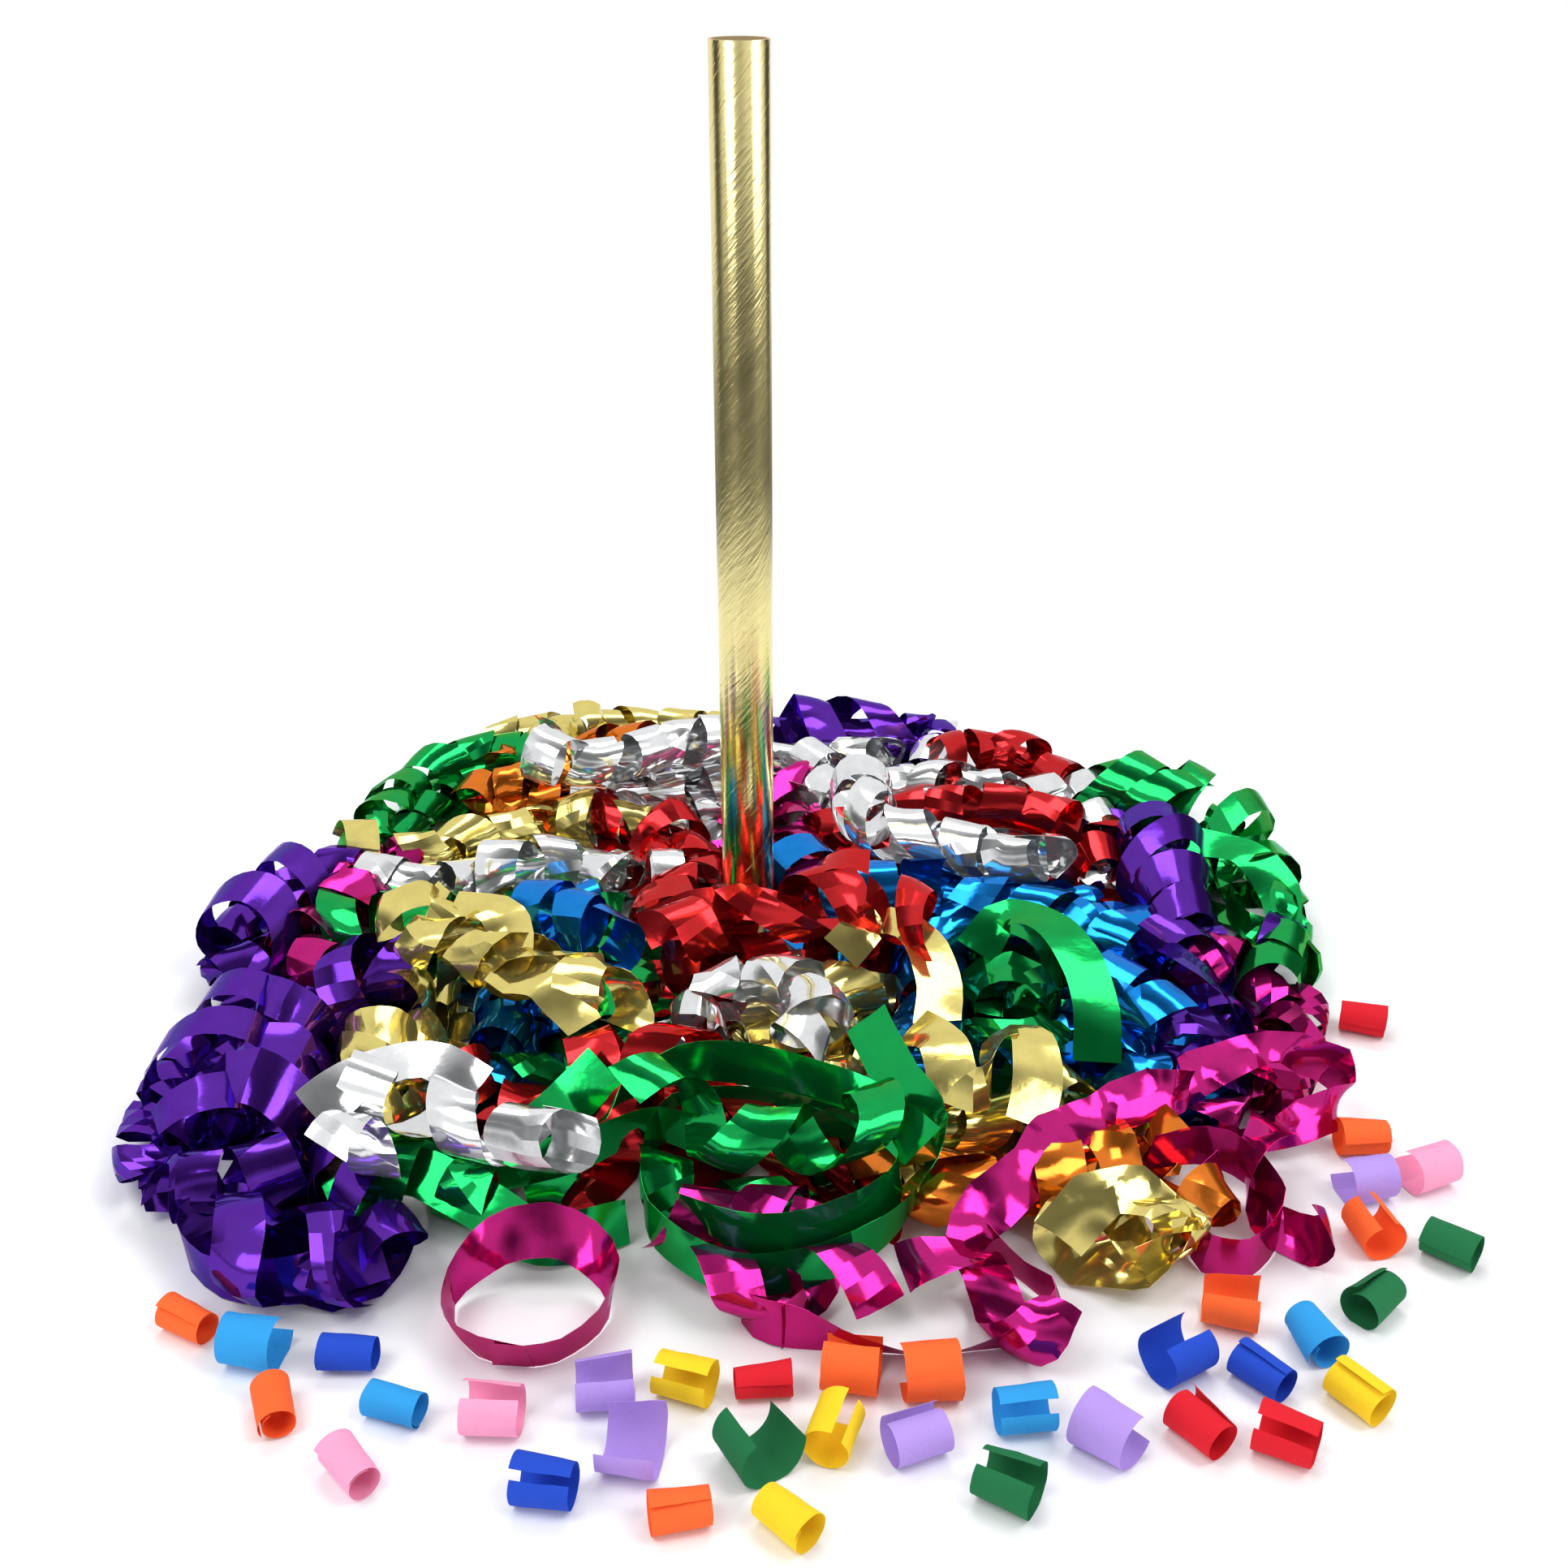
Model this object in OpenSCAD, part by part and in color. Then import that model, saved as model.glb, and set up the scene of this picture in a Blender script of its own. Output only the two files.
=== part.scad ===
// Streamer wand: a spiral-wound foil tube standing in the curled film streamers and
// the tissue confetti that it throws. Millimetres, +Z up, origin at the foot of the tube.

/* [Tube] */
// Outside diameter of the finished tube
tube_od = 21; // [16:0.5:28]
// Length of the tube
tube_length = 356; // [200:1:450]
// Thickness of the inner kraft ply
inner_ply_t = 0.5; // [0.3:0.05:1]
// Thickness of the outer board ply
outer_ply_t = 0.45; // [0.3:0.05:1]
// Thickness of the foil wrap
foil_t = 0.25; // [0.15:0.05:0.5]
// Depth of the plug in the foot of the tube
plug_depth = 12; // [8:1:25]
// Thickness of the plug's floor
plug_floor = 4; // [2:0.5:6]
// Wall of the plug above its floor
plug_wall = 1.6; // [1:0.1:3]

/* [Streamers] */
// Width of the film that the streamers are cut from
streamer_w = 17; // [10:1:20]
// Thickness of the film
film_t = 0.4; // [0.3:0.05:0.8]
// Radius of a curl at the middle of the film
curl_r = 14; // [12:0.5:16]
// Distance along a streamer from one curl to the next
curl_pitch = 36; // [28:1:60]
// Radius that a curl keeps at the two ends of its streamer, as a share
end_tightness = 0.82; // [0.6:0.02:1]
// Clearance between a streamer and its neighbours
streamer_clear = 0.8; // [0.4:0.1:2]
// Gap at which an upper streamer rests on a lower one
seat_gap = 0.3; // [0.1:0.1:1]
// Across the loose loop at the front, from left to right
loop_across = 62; // [40:1:70]
// Across the loose loop at the front, from front to back
loop_deep = 40; // [26:1:44]

/* [Confetti] */
// Width of a confetti slip
slip_w = 17; // [10:1:18]
// Cut length of a confetti slip
slip_length = 38; // [30:1:40]
// Thickness of the tissue
tissue_t = 0.3; // [0.2:0.05:0.6]

/* [Hidden] */
$fn = 64;
RINGS_PER_CURL = 8;
LOOP_RINGS = 24;

GOLD = [0.80, 0.66, 0.24];
SILVER = [0.78, 0.79, 0.81];
RED = [0.72, 0.06, 0.08];
GREEN = [0.04, 0.45, 0.16];
BLUE = [0.05, 0.32, 0.75];
PURPLE = [0.28, 0.08, 0.55];
MAGENTA = [0.72, 0.05, 0.42];
COPPER = [0.75, 0.30, 0.06];

tube_r = tube_od / 2;
foil_in_r = tube_r - foil_t;
ply_joint_r = foil_in_r - outer_ply_t;
bore_r = ply_joint_r - inner_ply_t;

// The heap is laid out in cells, each as wide as one curled streamer and its clearance
curl_outer_r = curl_r + film_t / 2;
cell = 2 * curl_outer_r + streamer_clear;

helix_angle = atan(curl_pitch / (2 * PI * curl_r));
// From the middle of the film to its edge: turn about the curl's axis, and run along it
edge_turn = streamer_w / 2 * sin(helix_angle) / curl_r * 180 / PI;
edge_run = streamer_w / 2 * cos(helix_angle);
// Height at which the upper tier rests on the crests of the lower one
crest_z = 2 * curl_outer_r * cos(edge_turn) + seat_gap;

// Name, colour, tier, turn of the curl at the middle, and the start, middle and end in cells.
// Each streamer of the upper tier hangs its middle on the crest of one below.
STREAMERS = [
    ["green_streamer_back_left", GREEN, 0, 135, [-4.1, 5.4], [-5.4, 4.3], [-5.9, 2.2]],
    ["gold_streamer_back", GOLD, 0, 0, [-3.2, 6], [-1.8, 6.3], [-0.4, 6.2]],
    ["copper_streamer_back_left", COPPER, 0, 225, [-2.6, 5.2], [-3.4, 4.5], [-4.3, 3.9]],
    ["silver_streamer_back", SILVER, 0, 0, [-1.7, 5.1], [0.6, 5.2], [2.9, 5]],
    ["purple_streamer_back", PURPLE, 0, 45, [0.4, 6.2], [2, 6.3], [3.4, 5.9]],
    ["red_streamer_back_right", RED, 0, 90, [4, 5.5], [4.9, 4.9], [5.5, 3.8]],
    ["green_streamer_right", GREEN, 0, 0, [6.4, 3.7], [7.6, 2], [7.4, -0.8]],
    ["magenta_streamer_right", MAGENTA, 0, 0, [7.3, -1.7], [7, -3], [6.3, -4.1]],
    ["magenta_streamer_right_end", MAGENTA, 0, 90, [5.7, -4.8], [6.1, -5.8], [5.8, -7]],
    ["gold_streamer_front_right", GOLD, 0, 45, [3.3, -6.7], [4.1, -6.7], [4.9, -6.4]],
    ["magenta_streamer_front_right", MAGENTA, 0, 180, [1.9, -6.9], [2.5, -7.6], [3.5, -7.9]],
    ["magenta_streamer_front", MAGENTA, 0, 0, [-1, -7.1], [0.2, -7.3], [1.5, -7.3]],
    ["green_streamer_front", GREEN, 0, 90, [-1.5, -5.6], [0.1, -6], [1.6, -5.8]],
    ["green_streamer_front_left", GREEN, 0, 90, [-4.7, -5.2], [-3.1, -5.7], [-1.8, -5.6]],
    ["purple_streamer_front_left", PURPLE, 0, 90, [-6.1, -6.2], [-5.1, -6.8], [-4.1, -6.9]],
    ["purple_streamer_left", PURPLE, 0, 270, [-6.6, -2.1], [-7.1, -3.8], [-6.7, -5.6]],
    ["purple_streamer_left_inner", PURPLE, 0, 45, [-5.4, -1.6], [-5.9, -3.4], [-5.6, -5.4]],
    ["purple_streamer_left_rear", PURPLE, 0, 0, [-7.3, -1.1], [-7.2, 0.2], [-6.7, 1.5]],
    ["magenta_streamer_left", MAGENTA, 0, 0, [-6.2, -0.8], [-6.1, 0.2], [-5.7, 1.3]],
    ["gold_streamer_left", GOLD, 0, 90, [-5, 1.9], [-4.1, 2.6], [-3, 3]],
    ["silver_streamer_left", SILVER, 0, 0, [-4.9, 0.8], [-3.2, 1.7], [-1.6, 1.2]],
    ["green_streamer_left", GREEN, 0, 45, [-5.3, -0.4], [-4, -0.1], [-2.5, 0.2]],
    ["gold_streamer_left_low", GOLD, 0, 90, [-4.4, -1.3], [-4.5, -2.8], [-4.5, -4.3]],
    ["blue_streamer_left", BLUE, 0, 90, [-3.2, -0.9], [-3.1, -2.2], [-3.2, -3.6]],
    ["green_streamer_by_tube", GREEN, 0, 90, [-2, -0.4], [-1.8, -1.9], [-1.9, -3.6]],
    ["red_streamer_front", RED, 0, 0, [-3.2, -4.5], [-1.2, -4.6], [0.8, -4.8]],
    ["silver_streamer_front", SILVER, 0, 135, [-0.6, -2.3], [-0.5, -3], [-0.6, -3.8]],
    ["red_streamer_by_tube", RED, 0, 90, [-1.2, -1], [0.2, -1.3], [1.6, -1]],
    ["gold_streamer_right_low", GOLD, 0, 135, [1.2, -4.8], [2.5, -4.8], [3.7, -4.4]],
    ["gold_streamer_right_inner", GOLD, 0, 0, [0.8, -2.3], [0.9, -3], [0.8, -3.8]],
    ["blue_streamer_front_right", BLUE, 0, 90, [2.6, -0.7], [2.3, -2.2], [2.2, -3.8]],
    ["copper_streamer_front_right", COPPER, 0, 90, [2.3, -5.9], [3.6, -5.7], [4.9, -5.2]],
    ["green_streamer_right_low", GREEN, 0, 45, [3.8, -0.6], [3.5, -2.1], [3.4, -3.5]],
    ["blue_streamer_right_low", BLUE, 0, 0, [4.9, -1.2], [4.7, -2.6], [4.7, -4]],
    ["purple_streamer_right", PURPLE, 0, 90, [6.3, 2.3], [6.4, 0.6], [6.2, -1.1]],
    ["purple_streamer_right_low", PURPLE, 0, 90, [6, -1.8], [5.9, -2.8], [5.6, -3.9]],
    ["blue_streamer_right", BLUE, 0, 90, [1.2, 0.4], [3.2, 0.5], [5.2, -0.2]],
    ["red_streamer_right", RED, 0, 180, [1.7, 1.6], [3.4, 1.6], [5.2, 1.3]],
    ["silver_streamer_right", SILVER, 0, 45, [1.7, 2.7], [3.6, 2.8], [5.6, 2.6]],
    ["silver_streamer_back_right", SILVER, 0, 0, [1.7, 3.9], [3.1, 4.1], [4.5, 3.8]],
    ["magenta_streamer_behind_tube", MAGENTA, 0, 45, [0.7, 1.2], [0.5, 2.6], [0.7, 4.1]],
    ["silver_streamer_back_left", SILVER, 0, 90, [-0.3, 4.1], [-1.3, 4], [-2.5, 3.7]],
    ["red_streamer_behind_tube", RED, 0, 0, [-0.6, 1.1], [-1, 2], [-1.5, 2.9]],
    ["red_streamer_before_tube", RED, 1, 270, [-1.4, -1.9], [0.2, -1.3], [1.9, -1.2]],
    ["gold_streamer_left_top", GOLD, 1, 270, [-4.4, -1.7], [-3.1, -2.2], [-2.1, -3.3]],
    ["silver_streamer_front_left", SILVER, 1, 270, [-4.7, -4.7], [-3.1, -5.7], [-1.7, -6]],
    ["green_streamer_front_top", GREEN, 1, 270, [-1.6, -5], [0.1, -6], [1.9, -5.2]],
    ["silver_streamer_right_top", SILVER, 1, 270, [1.9, 1.1], [3.2, 0.5], [4.6, 0.2]],
    ["silver_streamer_left_top", SILVER, 1, 270, [-2.7, 3.3], [-1.3, 4], [0.1, 4.6]],
];

// Middle of the loose loop at the front, in cells
LOOP_AT = [-2.5, -7.4];

// Name and colour, then for each slip: place in cells, heading of its roll, radius of its roll
CONFETTI = [
    ["confetti_orange", [1.00, 0.42, 0.20], [
        [-6, -7.4, 60, 7], [-4.8, -8.6, 20, 6.8], [1, -8.3, 80, 8], [1.8, -8.4, 95, 7],
        [5.1, -7.5, 75, 8], [-0.7, -10, 100, 6.8], [7.4, -4.7, 90, 7], [7, -6.3, 10, 7],
    ]],
    ["confetti_blue", [0.10, 0.42, 0.82], [
        [-5.2, -7.8, 80, 7], [-4.2, -7.9, 85, 6.8], [-3.6, -8.6, 70, 6.8], [2.7, -8.9, 95, 7],
        [4.4, -8.2, 120, 7], [5.9, -7.9, 15, 7.5], [5.2, -8.4, 40, 6.8], [-2, -9.7, 80, 8],
    ]],
    ["confetti_green", [0.14, 0.46, 0.26], [
        [0, -9.3, 30, 7], [2.4, -9.8, 60, 7], [6.7, -7.4, 130, 7], [7.8, -6.6, 50, 6.8],
    ]],
    ["confetti_yellow", [0.98, 0.84, 0.14], [
        [-0.7, -8.4, 70, 7], [0.8, -9.1, 160, 7], [6.1, -8.7, 35, 6.8], [0.3, -10.1, 45, 8],
    ]],
    ["confetti_pink", [0.86, 0.62, 0.84], [
        [-3.9, -9.4, 40, 7], [-2.6, -8.8, 85, 7], [-1.5, -8.5, 95, 7.5], [-1.2, -9.3, 80, 7.5],
        [1.6, -9.2, 110, 7.5], [3.5, -9.2, 45, 7], [7.2, -5.5, 100, 6.8], [8, -5.3, 110, 6.8],
    ]],
    ["confetti_red", [0.88, 0.16, 0.20], [
        [0.1, -8.4, 95, 6.8], [4.4, -9.1, 35, 7.5], [5.2, -9.3, 60, 7], [8.2, -2.2, 70, 8],
    ]],
];

// Tube: three plies wound on each other. The inner one stops short at the foot, and the
// plug is pressed in against its end.
module ply(outer_r, inner_r, foot_z = 0) {
    difference() {
        translate([0, 0, foot_z]) cylinder(r = outer_r, h = tube_length - foot_z);
        translate([0, 0, -1]) cylinder(r = inner_r, h = tube_length + 2);
    }
}

module inner_ply() color([0.70, 0.55, 0.38]) ply(ply_joint_r, bore_r, plug_depth);

module outer_ply() color([0.78, 0.68, 0.52]) ply(foil_in_r, ply_joint_r);

module foil_wrap() color(GOLD) ply(tube_r, foil_in_r);

module foot_plug() color([0.86, 0.80, 0.68])
    difference() {
        cylinder(r = ply_joint_r, h = plug_depth);
        translate([0, 0, plug_floor]) cylinder(r = ply_joint_r - plug_wall, h = plug_depth);
    }

// The route of a streamer: a parabola through its start, middle and end
function bend(s) = 2 * s[5] - (s[4] + s[6]) / 2;

function route(s, share) =
    cell * (pow(1 - share, 2) * s[4] + 2 * share * (1 - share) * bend(s) + pow(share, 2) * s[6]);

function along(s, share) =
    let (slope = (1 - share) * (bend(s) - s[4]) + share * (s[6] - bend(s)))
    slope / norm(slope);

function route_length(s) = cell * (norm(s[5] - s[4]) + norm(s[6] - s[5]));

// The curls of a streamer, with the film's edges kept inside the ends of its route
function curl_run(s) = route_length(s) - 2 * edge_run;

function ring_count(s) = 2 * round(curl_run(s) / curl_pitch * RINGS_PER_CURL / 2);

function curl_radius(share) = curl_r * (end_tightness + (1 - end_tightness) * sin(180 * share));

// A corner of the film: a run along the axis, a turn about it and a radius from it
function film_corner(middle, ahead, run, turn, radius, height) =
    let (
        beside = [ahead[1], -ahead[0]],
        flat = middle + run * ahead + radius * cos(turn) * beside
    )
    [flat[0], flat[1], height + radius * sin(turn)];

// The four corners of the film at ring i of streamer s
function film_ring(s, i) =
    let (
        share = i / ring_count(s),
        inset = edge_run / route_length(s),
        place = inset + (1 - 2 * inset) * share,
        middle = route(s, place),
        ahead = along(s, place),
        turn = s[3] + 360 * (i - ring_count(s) / 2) / RINGS_PER_CURL,
        inner = curl_radius(share) - film_t / 2,
        outer = curl_radius(share) + film_t / 2,
        height = s[2] * crest_z + outer * cos(edge_turn)
    )
    [
        film_corner(middle, ahead, -edge_run, turn + edge_turn, inner, height),
        film_corner(middle, ahead, -edge_run, turn + edge_turn, outer, height),
        film_corner(middle, ahead, edge_run, turn - edge_turn, outer, height),
        film_corner(middle, ahead, edge_run, turn - edge_turn, inner, height),
    ];

function film_rings(s) = [for (i = [0 : ring_count(s)]) film_ring(s, i)];

// Least distance, point to point, between one turn of a streamer and the next
function least_gap(rings) = min([
    for (i = [0 : len(rings) - 1])
        for (j = [i + RINGS_PER_CURL / 2 : len(rings) - 1])
            min([for (a = rings[i]) for (b = rings[j]) norm(a - b)]),
    cell
]);

// A film of four-cornered rings, closed at both ends
module film(rings) {
    last = 4 * (len(rings) - 1);
    points = [for (ring = rings) each ring];
    // The inner and outer faces share their diagonals, so the film keeps its thickness
    outside = [for (i = [0 : 4 : last - 4]) for (k = [0 : 2])
        let (a = i + k, b = i + k + 1) each [[a, b, b + 4], [a, b + 4, a + 4]]];
    inside = [for (i = [0 : 4 : last - 4])
        let (a = i + 3, b = i) each [[a, b, a + 4], [b, b + 4, a + 4]]];
    ends = [[0, 2, 1], [0, 3, 2], [last, last + 1, last + 2], [last, last + 2, last + 3]];
    polyhedron(points, concat(outside, inside, ends), convexity = 10);
}

module streamer(s) color(s[1]) film(film_rings(s));

// Loose loop: an oval of film that stands on its edge, open by one ring
function loop_point(turn, grow) = [
    cell * LOOP_AT[0] + (loop_across / 2 + grow) * cos(turn),
    cell * LOOP_AT[1] + (loop_deep / 2 + grow) * sin(turn),
    0,
];

function loop_ring(turn) =
    let (
        inner = loop_point(turn, -film_t / 2),
        outer = loop_point(turn, film_t / 2),
        up = [0, 0, streamer_w]
    )
    [inner, outer, outer + up, inner + up];

module magenta_loop_front() color(MAGENTA)
    film([for (i = [0 : LOOP_RINGS - 1]) loop_ring(360 * i / LOOP_RINGS)]);

// Confetti: slips of tissue, each rolled into most of a circle
module slip(place, heading, roll_r) {
    rolled = slip_length / roll_r * 180 / PI;
    seam_turn = 100;
    translate([cell * place[0], cell * place[1], roll_r + tissue_t])
        rotate([90, 0, heading])
            translate([0, 0, -slip_w / 2])
                rotate([0, 0, seam_turn])
                    rotate_extrude(angle = rolled)
                        translate([roll_r, 0])
                            square([tissue_t, slip_w]);
}

module confetti(c) color(c[1])
    for (p = c[2]) slip([p[0], p[1]], p[2], p[3]);

echo(curls = [for (s = STREAMERS) ring_count(s)] * [for (s = STREAMERS) 1 / RINGS_PER_CURL]);
echo(least_gap_between_turns = min([for (s = STREAMERS) least_gap(film_rings(s))]));

inner_ply();
outer_ply();
foil_wrap();
foot_plug();
for (s = STREAMERS) streamer(s);
magenta_loop_front();
for (c = CONFETTI) confetti(c);
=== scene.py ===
# A streamer wand: a gold foil tube standing in a heap of curled film, with tissue confetti in front
import bisect
import functools
import math
import random

import bmesh
import bpy
from mathutils import Euler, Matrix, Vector, noise


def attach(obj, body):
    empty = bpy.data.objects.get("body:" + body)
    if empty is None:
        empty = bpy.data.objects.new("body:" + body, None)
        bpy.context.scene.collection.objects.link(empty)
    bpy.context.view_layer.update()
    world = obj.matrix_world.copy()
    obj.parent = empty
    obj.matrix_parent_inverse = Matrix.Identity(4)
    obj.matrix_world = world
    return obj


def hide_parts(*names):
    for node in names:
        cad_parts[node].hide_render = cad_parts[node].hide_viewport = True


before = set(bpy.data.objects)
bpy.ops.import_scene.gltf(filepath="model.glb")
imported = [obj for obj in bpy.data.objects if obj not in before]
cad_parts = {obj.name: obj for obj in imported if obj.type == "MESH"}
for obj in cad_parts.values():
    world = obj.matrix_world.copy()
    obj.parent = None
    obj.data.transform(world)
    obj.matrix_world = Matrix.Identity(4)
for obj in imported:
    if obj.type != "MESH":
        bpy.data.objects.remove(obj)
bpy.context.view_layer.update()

# Seeds: the noise that crumples the films is set here, because the clock sets it otherwise
NOISE_SEED = 3
FIRST_STREAMER_SEED = 11
LOOP_SEED = 5
noise.seed_set(NOISE_SEED)

# Sizes, in metres: a cell is the step of the heap's plan, and the upper tier is where the top strips lie
MM = 0.001
TAU = 2 * math.pi
CELL = 29.2 * MM
STRIP_W = 17 * MM
FILM_T = 0.06 * MM
TISSUE_T = 0.08 * MM
SLIP_L = 38 * MM
FLOOR_GAP = 0.25 * MM
UPPER_TIER = 27.9 * MM
SHARP_CREASE = math.radians(22)

FILM_COLOURS = {
    "green": (0.004, 0.36, 0.075),
    "gold": (0.76, 0.64, 0.20),
    "silver": (0.80, 0.81, 0.82),
    "red": (0.58, 0.018, 0.022),
    "blue": (0.006, 0.22, 0.68),
    "purple": (0.10, 0.018, 0.35),
    "magenta": (0.52, 0.012, 0.19),
    "copper": (0.78, 0.20, 0.02),
}
TISSUE_COLOURS = {
    "orange": (1.0, 0.14, 0.03),
    "sky": (0.03, 0.33, 0.75),
    "blue": (0.015, 0.07, 0.55),
    "green": (0.012, 0.16, 0.055),
    "yellow": (0.95, 0.65, 0.02),
    "pink": (0.95, 0.36, 0.56),
    "lavender": (0.46, 0.30, 0.78),
    "red": (0.72, 0.012, 0.025),
}


# Shaders
class Wire:
    """An output of a node, which can stand in a sum or a product."""

    def __init__(self, finish, socket):
        self.finish = finish
        self.socket = socket

    def math(self, operation, first, second=0.0):
        return self.finish.node("Math", {"operation": operation}, {0: first, 1: second})

    def __add__(self, other):
        return self.math("ADD", self, other)

    def __sub__(self, other):
        return self.math("SUBTRACT", self, other)

    def __mul__(self, other):
        return self.math("MULTIPLY", self, other)

    def __rsub__(self, other):
        return self.math("SUBTRACT", other, self)

    def __gt__(self, other):
        return self.math("GREATER_THAN", self, other)

    def __abs__(self):
        return self.math("ABSOLUTE", self)

    __radd__ = __add__
    __rmul__ = __mul__


class Finish:
    """The node tree of a material or the world, with one method that adds any node."""

    def __init__(self, holder):
        holder.use_nodes = True
        self.holder = holder
        self.tree = holder.node_tree
        self.tree.nodes.clear()

    def node(self, kind, settings, sockets, output=0):
        made = self.tree.nodes.new("ShaderNode" + kind)
        for key, value in settings.items():
            setattr(made, key, value)
        for key, value in sockets.items():
            if isinstance(value, Wire):
                self.tree.links.new(value.socket, made.inputs[key])
            else:
                made.inputs[key].default_value = value
        return Wire(self, made.outputs[output] if made.outputs else None)

    def place(self):
        return self.node("TexCoord", {}, {}, "Object")

    def strip_map(self):
        return self.node("TexCoord", {}, {}, "UV")

    def axes(self, vector):
        return [self.node("SeparateXYZ", {}, {0: vector}, axis) for axis in "XYZ"]

    def speckle(self, where, scale, detail=3.0):
        return self.node("TexNoise", {}, {"Vector": where, "Scale": scale, "Detail": detail})

    def blend(self, share, first, second):
        sockets = {0: share, 6: (*first, 1), 7: (*second, 1)}
        return self.node("Mix", {"data_type": "RGBA"}, sockets, 2)

    def bump(self, height, distance, strength):
        return self.node("Bump", {}, {"Height": height, "Distance": distance, "Strength": strength})

    def close(self, sockets):
        shader = self.node("BsdfPrincipled", {}, sockets)
        self.node("OutputMaterial", {}, {"Surface": shader})
        return self.holder


# Where the painted highlight along the film's cut edges starts, from the middle of the strip as a share of
# its width
EDGE_HIGHLIGHT_FROM = 0.488

# The foil's seam: its rise in a turn, and its start and half width as shares of a turn
SEAM_LEAD = 85 * MM
SEAM_START = 0.55
SEAM_HALF = 0.006


def shade(colour, amount):
    return tuple(amount * part for part in colour)


def film_finish(name, colour):
    """Metallised film: a mirror with fine crinkles and a painted highlight along its cut edges."""
    finish = Finish(bpy.data.materials.new("film_" + name))
    where = finish.place()
    crinkle = finish.speckle(where, scale=150.0)
    facets = finish.node("TexVoronoi", {}, {"Vector": where, "Scale": 110.0})
    across = finish.axes(finish.strip_map())[1]
    # Painted highlight: the tint is paler along the cut edges of the strip, standing in for the light that
    # the edges catch
    edge = abs(across - 0.5) > EDGE_HIGHLIGHT_FROM
    tint = finish.blend(0.9 * crinkle + 0.5 * edge, shade(colour, 0.78), shade(colour, 1.12))
    return finish.close({
        "Base Color": tint,
        "Metallic": 0.86,
        "Roughness": 0.07 + 0.1 * finish.speckle(where, scale=60.0),
        "Specular Tint": (*[math.sqrt(part) for part in colour], 1),
        "Coat Weight": 0.15,
        "Coat Roughness": 0.05,
        "Normal": finish.bump(crinkle + 0.6 * facets, distance=0.4 * MM, strength=0.2),
    })


def foil_finish():
    """Gold foil paper, wound on a spiral with a butt seam and fine creases along the winding."""
    finish = Finish(bpy.data.materials.new("gold_foil"))
    x, y, z = finish.axes(finish.place())
    around = finish.node("Math", {"operation": "ARCTAN2"}, {0: x, 1: 0.0 - y})
    turn = around * (1 / TAU) - z * (1 / SEAM_LEAD)
    wound = finish.node("Math", {"operation": "FRACT"}, {0: turn + SEAM_START})
    seam = 1 - (abs(wound - 0.5) > SEAM_HALF)
    cosine = finish.node("Math", {"operation": "COSINE"}, {0: turn * TAU})
    sine = finish.node("Math", {"operation": "SINE"}, {0: turn * TAU})
    wrapped = finish.node("CombineXYZ", {}, {0: cosine, 1: sine, 2: z * 24.0})
    drawn = finish.node("CombineXYZ", {}, {0: cosine, 1: sine, 2: z * 3.0})
    creases = finish.speckle(wrapped, scale=7.0, detail=4.0)
    scratches = finish.speckle(drawn, scale=13.0, detail=1.0) > 0.7
    scuffs = finish.speckle(wrapped, scale=1.6, detail=2.0)
    marks = 0.8 * seam + 0.3 * scratches
    light = 0.7 * creases + 0.4 * scuffs - marks
    tint = finish.blend(light, (0.68, 0.57, 0.24), (0.95, 0.84, 0.40))
    return finish.close({
        "Base Color": tint,
        "Metallic": 1.0,
        "Roughness": 0.09 + 0.15 * scuffs,
        "Normal": finish.bump(creases - marks, distance=0.2 * MM, strength=0.5),
    })


def paper_finish(name, pale, deep, fibre_scale, rough):
    """Paper, board or tissue with fibres and a faint cloudiness."""
    finish = Finish(bpy.data.materials.new(name))
    where = finish.place()
    stretched = finish.node("Mapping", {}, {"Vector": where, "Scale": (1.0, 2.2, 0.6)})
    fibres = finish.speckle(stretched, fibre_scale, detail=5.0)
    cloud = finish.speckle(where, scale=140.0, detail=2.0)
    return finish.close({
        "Base Color": finish.blend(0.6 * fibres + 0.4 * cloud, deep, pale),
        "Roughness": rough + 0.1 * fibres,
        "Specular IOR Level": 0.25,
        "Normal": finish.bump(fibres, distance=0.12 * MM, strength=0.4),
    })


film = {name: film_finish(name, colour) for name, colour in FILM_COLOURS.items()}
tissue = {
    name: paper_finish("tissue_" + name, shade(colour, 1.08), shade(colour, 0.86), 900.0, 0.82)
    for name, colour in TISSUE_COLOURS.items()
}
tube_finishes = {
    "inner_ply": paper_finish("kraft", (0.56, 0.43, 0.24), (0.42, 0.31, 0.16), 700.0, 0.8),
    "outer_ply": paper_finish("board", (0.62, 0.46, 0.28), (0.46, 0.32, 0.18), 700.0, 0.8),
    "foil_wrap": foil_finish(),
    "foot_plug": paper_finish("plug_paper", (0.72, 0.64, 0.50), (0.58, 0.50, 0.38), 600.0, 0.85),
}
for node_name, finish in tube_finishes.items():
    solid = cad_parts[node_name]
    solid.data.materials.clear()
    solid.data.materials.append(finish)


# Strips of film
def smooth_line(stops, steps=14):
    """Points on a smooth curve through the stops."""
    ends = [2 * stops[0] - stops[1], *stops, 2 * stops[-1] - stops[-2]]
    points = []
    for a, b, c, d in zip(ends, ends[1:], ends[2:], ends[3:]):
        for step in range(steps):
            t = step / steps
            curve = 2 * b + (c - a) * t + (2 * a - 5 * b + 4 * c - d) * t**2
            points.append(0.5 * (curve + (3 * b - a - 3 * c + d) * t**3))
    return [*points, stops[-1]]


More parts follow.
